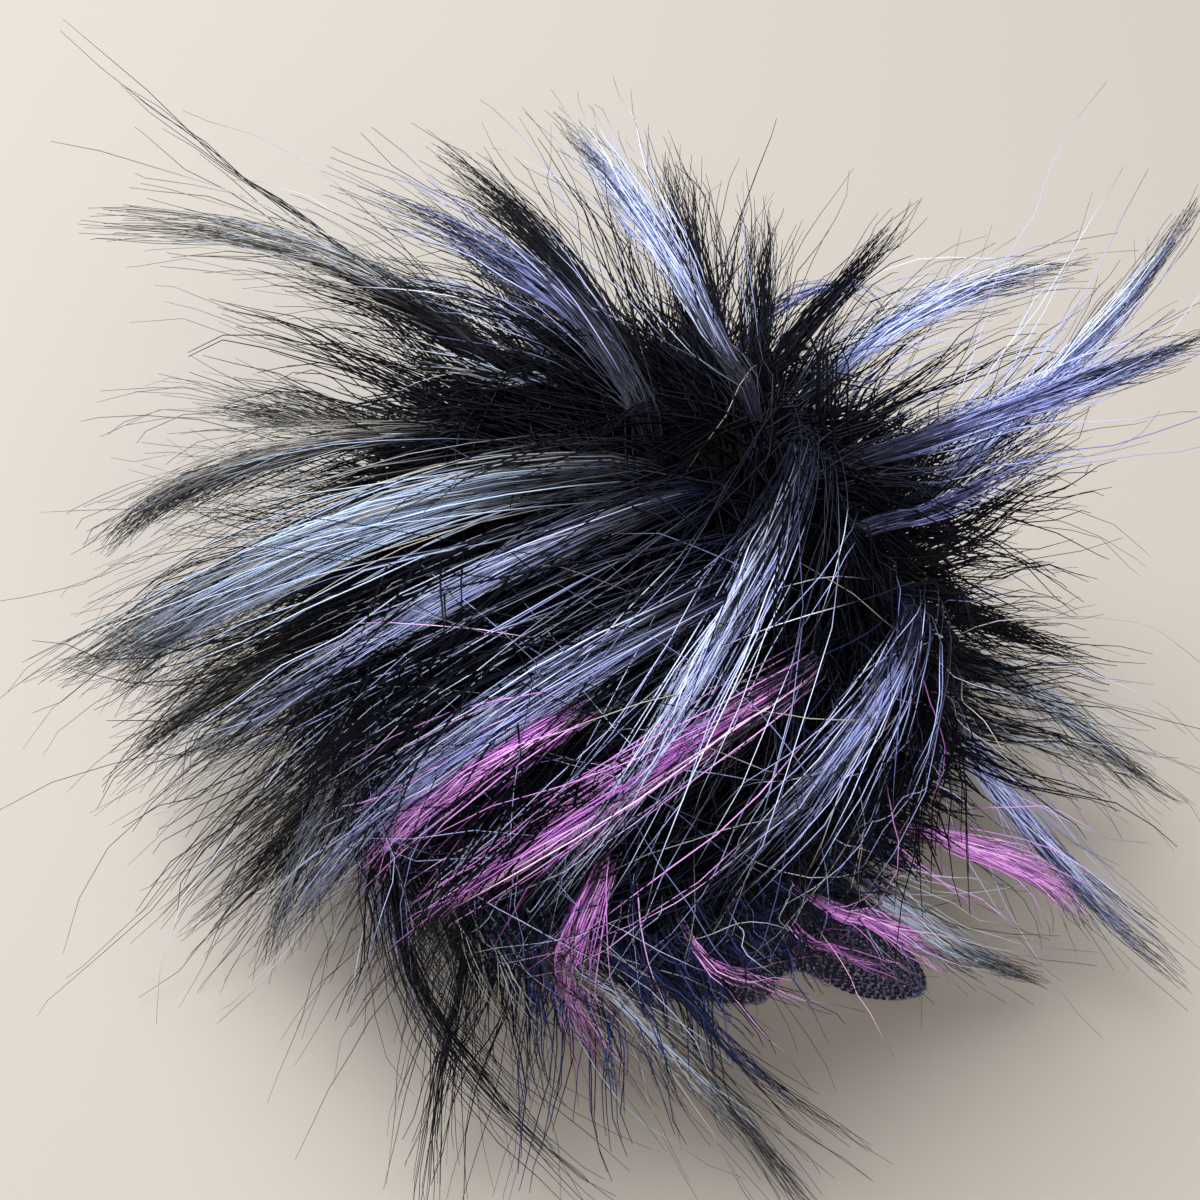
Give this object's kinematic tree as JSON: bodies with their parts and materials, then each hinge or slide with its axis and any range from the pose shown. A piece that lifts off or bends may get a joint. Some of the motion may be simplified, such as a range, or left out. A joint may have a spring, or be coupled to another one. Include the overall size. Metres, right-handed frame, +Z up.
{
  "type": "pom pom",
  "caption": "Long-pile faux-fur pom pom: a knit-backed fur ball with a black pile and bright locks that part at the crown and drape to the table.",
  "frame": {"origin": "on the table, under the middle of the ball, at the centre of its flat spot", "axes": "+Z up from the table, +X to the right along the widest spread of the pile, -Y to the front, where the gathered edge shows"},
  "size_m": [0.1363, 0.1184, 0.0667],
  "materials": {
    "pile_black": "dense black acrylic pile with a soft navy sheen",
    "pile_lilac": "lavender blue acrylic guard hair, satin, with dark roots and tips",
    "pile_silver": "silver to sage grey acrylic guard hair, satin, with dark roots and tips",
    "pile_magenta": "orchid pink acrylic guard hair, satin",
    "knit_backing": "fine knitted backing, matt"
  },
  "bodies": {
    "root": {"fur_ball": "pile_black", "gathered_edge": "knit_backing"}
  },
  "joints": []
}
